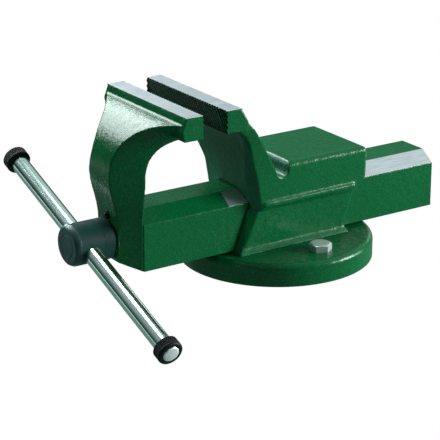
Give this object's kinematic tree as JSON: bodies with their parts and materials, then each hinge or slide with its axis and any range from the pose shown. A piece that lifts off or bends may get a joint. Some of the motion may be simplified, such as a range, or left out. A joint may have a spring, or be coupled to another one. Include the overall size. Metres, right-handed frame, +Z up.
{
  "type": "bench vise",
  "caption": "Forged parallel bench vise on a round swivel base, with a spindle-driven front jaw, sliding guide bar, anvil and sliding tommy-bar handle.",
  "frame": {"origin": "centre of the bench bolt circle on the swivel axis, at bench level", "axes": "+X along the spindle towards the back of the vise, +Z up, jaws across Y"},
  "size_m": [0.348, 0.2507, 0.1642],
  "materials": {
    "green_paint": "glossy hammered enamel over forged steel",
    "bright_steel": "ground steel",
    "turned_steel": "turned and lightly oiled",
    "zinc_steel": "zinc plated",
    "black_steel": "black oxide",
    "head_paint": "satin dark green",
    "head_plastic": "satin moulded",
    "handle_chrome": "polished plating",
    "ring_rubber": "ribbed matt",
    "bronze": "cast and bored",
    "cast_iron": "rough cast with machined lips"
  },
  "bodies": {
    "bench_base": {"swivel_plate": "cast_iron", "pivot_pin": "turned_steel"},
    "fixed_body": {"swivel_disc": "green_paint", "vise_body": "green_paint", "t_nuts": "black_steel", "spindle_nut": "bronze", "nut_screws": "black_steel", "gib_strip": "bright_steel", "gib_screws": "black_steel"},
    "bolt_near": {"clamp_bolt_near": "zinc_steel"},
    "bolt_far": {"clamp_bolt_far": "zinc_steel"},
    "sliding_jaw": {"front_jaw": "green_paint", "guide_bar": "green_paint", "spindle_bush": "bronze", "oil_nipple": "black_steel"},
    "screw": {"spindle": "turned_steel", "spindle_head": "head_paint", "head_pin": "black_steel", "head_cap": "head_plastic", "thrust_sleeve": "head_paint", "thrust_washer": "zinc_steel", "stop_washer": "zinc_steel", "stop_screw": "zinc_steel"},
    "handle": {"handle_rod": "handle_chrome", "handle_ring_near": "ring_rubber", "handle_ring_far": "ring_rubber"}
  },
  "joints": [
    {"name": "base_swivel", "type": "hinge", "parent": "bench_base", "child": "fixed_body", "pos_m": [0, 0, 0.015], "axis": [0, 0, 1], "continuous": true},
    {"name": "clamp_near_turn", "type": "hinge", "parent": "fixed_body", "child": "bolt_near", "pos_m": [0.00409, -0.05846, 0.02], "axis": [0, 0, 1], "range_deg": [0, 180]},
    {"name": "clamp_far_turn", "type": "hinge", "parent": "fixed_body", "child": "bolt_far", "pos_m": [0.00409, 0.05846, 0.02], "axis": [0, 0, 1], "range_deg": [0, 180]},
    {"name": "jaw_slide", "type": "slide", "parent": "fixed_body", "child": "sliding_jaw", "axis": [-1, 0, 0], "range_m": [-0.0212, 0.1285]},
    {"name": "spindle_turn", "type": "hinge", "parent": "sliding_jaw", "child": "screw", "pos_m": [-0.15, 0, 0.047], "axis": [-1, 0, 0], "range_deg": [-1530, 9260]},
    {"name": "handle_slide", "type": "slide", "parent": "screw", "child": "handle", "axis": [0, -0.9397, -0.342], "range_m": [-0.1124, 0.0928]}
  ],
  "couplings": [
    {"joint": "spindle_turn", "follows": "jaw_slide", "rad_per_m": 1256.6}
  ]
}
